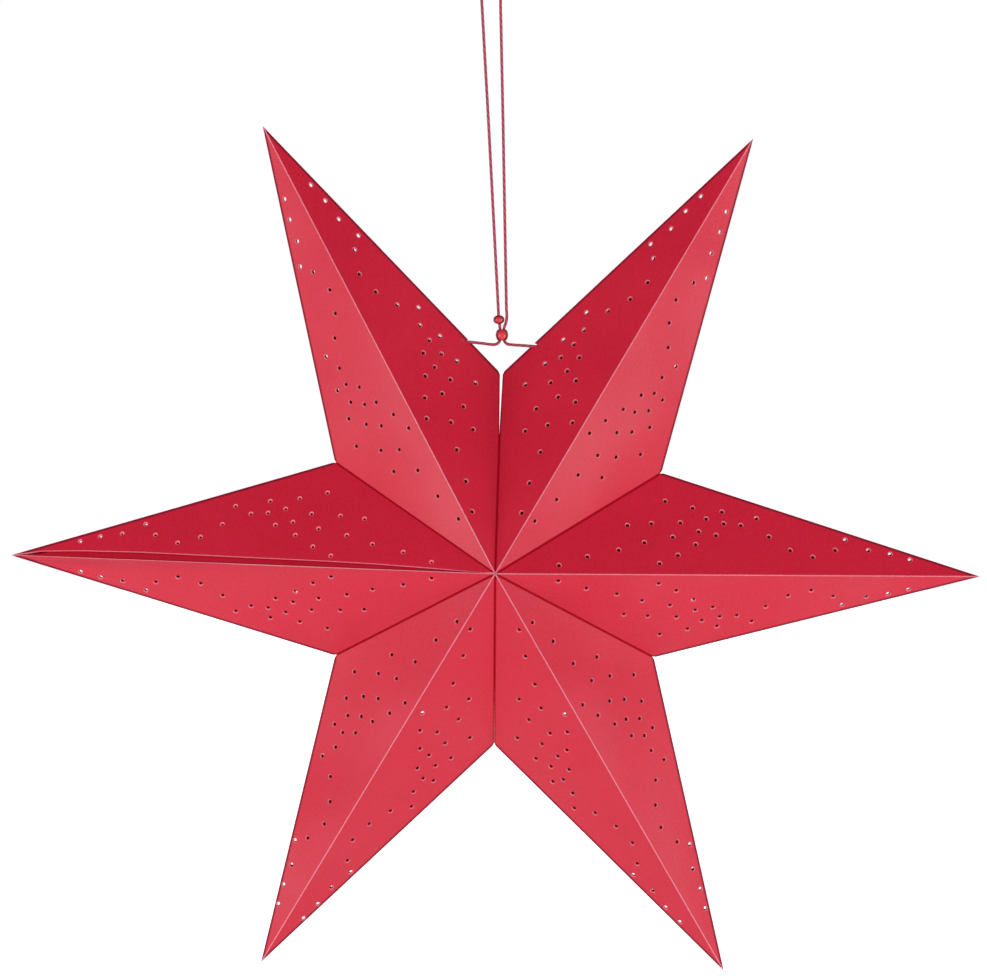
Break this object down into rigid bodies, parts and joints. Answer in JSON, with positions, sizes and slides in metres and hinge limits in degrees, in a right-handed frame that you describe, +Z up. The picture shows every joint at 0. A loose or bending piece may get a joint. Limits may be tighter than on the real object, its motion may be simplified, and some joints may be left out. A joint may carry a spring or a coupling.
{
  "type": "folding paper star lantern",
  "caption": "Pierced card star lantern with folded points around a hub, hung from a looped cord that is drawn tight by sliding beads; it folds shut like a fan.",
  "frame": {"origin": "under the crown of the cord's loop, where a hook carries the lantern", "axes": "+Z up along the hanging lantern, +X to the right as seen from the front, +Y away from the front, through the thickness of the star"},
  "size_m": [0.5996, 0.129, 0.6155],
  "materials": {
    "card": "dyed red card with a fine leathery grain, pierced",
    "card_inside": "the same card, in shade",
    "cord": "twisted dull red cord",
    "bead": "polished red bead"
  },
  "bodies": {
    "upper_right_point_on_cord": {"hanging_cord": "cord", "left_stop_knot": "cord", "right_stop_knot": "cord", "upper_right_point_front_left_panel": "card", "upper_right_point_front_right_panel": "card", "upper_right_point_front_right_flap": "card_inside", "upper_right_point_back_left_panel": "card", "upper_right_point_back_right_panel": "card", "upper_right_point_back_right_flap": "card_inside"},
    "lower_bead": {"lower_bead": "bead"},
    "upper_bead": {"upper_bead": "bead"},
    "upper_left_point": {"upper_left_point_front_left_panel": "card", "upper_left_point_front_left_flap": "card_inside", "upper_left_point_front_right_panel": "card", "upper_left_point_back_left_panel": "card", "upper_left_point_back_left_flap": "card_inside", "upper_left_point_back_right_panel": "card"},
    "left_point": {"left_point_front_left_panel": "card", "left_point_front_left_flap": "card_inside", "left_point_front_right_panel": "card", "left_point_front_right_flap": "card_inside", "left_point_back_left_panel": "card", "left_point_back_left_flap": "card_inside", "left_point_back_right_panel": "card", "left_point_back_right_flap": "card_inside", "left_point_seam_tab": "card_inside"},
    "lower_left_point": {"lower_left_point_front_left_panel": "card", "lower_left_point_front_left_flap": "card_inside", "lower_left_point_front_right_panel": "card", "lower_left_point_front_right_flap": "card_inside", "lower_left_point_back_left_panel": "card", "lower_left_point_back_left_flap": "card_inside", "lower_left_point_back_right_panel": "card", "lower_left_point_back_right_flap": "card_inside"},
    "lower_right_point": {"lower_right_point_front_left_panel": "card", "lower_right_point_front_left_flap": "card_inside", "lower_right_point_front_right_panel": "card", "lower_right_point_front_right_flap": "card_inside", "lower_right_point_back_left_panel": "card", "lower_right_point_back_left_flap": "card_inside", "lower_right_point_back_right_panel": "card", "lower_right_point_back_right_flap": "card_inside"},
    "right_point": {"right_point_front_left_panel": "card", "right_point_front_left_flap": "card_inside", "right_point_front_right_panel": "card", "right_point_front_right_flap": "card_inside", "right_point_back_left_panel": "card", "right_point_back_left_flap": "card_inside", "right_point_back_right_panel": "card", "right_point_back_right_flap": "card_inside"}
  },
  "joints": [
    {"name": "upper_left_point_fold", "type": "hinge", "parent": "upper_right_point_on_cord", "child": "upper_left_point", "pos_m": [0.0027, 0, -0.353], "axis": [0, -1, 0], "range_deg": [0, 275], "deforming": ["upper_right_point_front_left_panel", "upper_right_point_front_right_panel", "upper_right_point_front_right_flap", "upper_right_point_back_left_panel", "upper_right_point_back_right_panel", "upper_right_point_back_right_flap", "upper_left_point_front_left_panel", "upper_left_point_front_left_flap", "upper_left_point_front_right_panel", "upper_left_point_back_left_panel", "upper_left_point_back_left_flap", "upper_left_point_back_right_panel", "hanging_cord", "left_stop_knot"]},
    {"name": "left_point_fold", "type": "hinge", "parent": "upper_right_point_on_cord", "child": "left_point", "pos_m": [0.0027, 0, -0.353], "axis": [0, -1, 0], "range_deg": [0, 220], "deforming": ["left_point_front_left_panel", "left_point_front_left_flap", "left_point_front_right_panel", "left_point_front_right_flap", "left_point_back_left_panel", "left_point_back_left_flap", "left_point_back_right_panel", "left_point_back_right_flap", "left_point_seam_tab"]},
    {"name": "lower_left_point_fold", "type": "hinge", "parent": "upper_right_point_on_cord", "child": "lower_left_point", "pos_m": [0.0027, 0, -0.353], "axis": [0, -1, 0], "range_deg": [0, 165], "deforming": ["lower_left_point_front_left_panel", "lower_left_point_front_left_flap", "lower_left_point_front_right_panel", "lower_left_point_front_right_flap", "lower_left_point_back_left_panel", "lower_left_point_back_left_flap", "lower_left_point_back_right_panel", "lower_left_point_back_right_flap"]},
    {"name": "lower_right_point_fold", "type": "hinge", "parent": "upper_right_point_on_cord", "child": "lower_right_point", "pos_m": [0.0027, 0, -0.353], "axis": [0, -1, 0], "range_deg": [0, 110], "deforming": ["lower_right_point_front_left_panel", "lower_right_point_front_left_flap", "lower_right_point_front_right_panel", "lower_right_point_front_right_flap", "lower_right_point_back_left_panel", "lower_right_point_back_left_flap", "lower_right_point_back_right_panel", "lower_right_point_back_right_flap"]},
    {"name": "right_point_fold", "type": "hinge", "parent": "upper_right_point_on_cord", "child": "right_point", "pos_m": [0.0027, 0, -0.353], "axis": [0, -1, 0], "range_deg": [0, 55], "deforming": ["right_point_front_left_panel", "right_point_front_left_flap", "right_point_front_right_panel", "right_point_front_right_flap", "right_point_back_left_panel", "right_point_back_left_flap", "right_point_back_right_panel", "right_point_back_right_flap"]},
    {"name": "lower_bead_slide", "type": "slide", "parent": "upper_right_point_on_cord", "child": "lower_bead", "axis": [-0.0322, 0, 0.9995], "range_m": [0, 0.022], "deforming": ["hanging_cord"]},
    {"name": "upper_bead_slide", "type": "slide", "parent": "lower_bead", "child": "upper_bead", "axis": [-0.0527, 0, 0.9986], "range_m": [-0.003, 0.165], "deforming": ["hanging_cord"]}
  ],
  "couplings": [
    {"joint": "left_point_fold", "follows": "upper_left_point_fold", "ratio": 0.8},
    {"joint": "lower_left_point_fold", "follows": "upper_left_point_fold", "ratio": 0.6},
    {"joint": "lower_right_point_fold", "follows": "upper_left_point_fold", "ratio": 0.4},
    {"joint": "right_point_fold", "follows": "upper_left_point_fold", "ratio": 0.2}
  ]
}
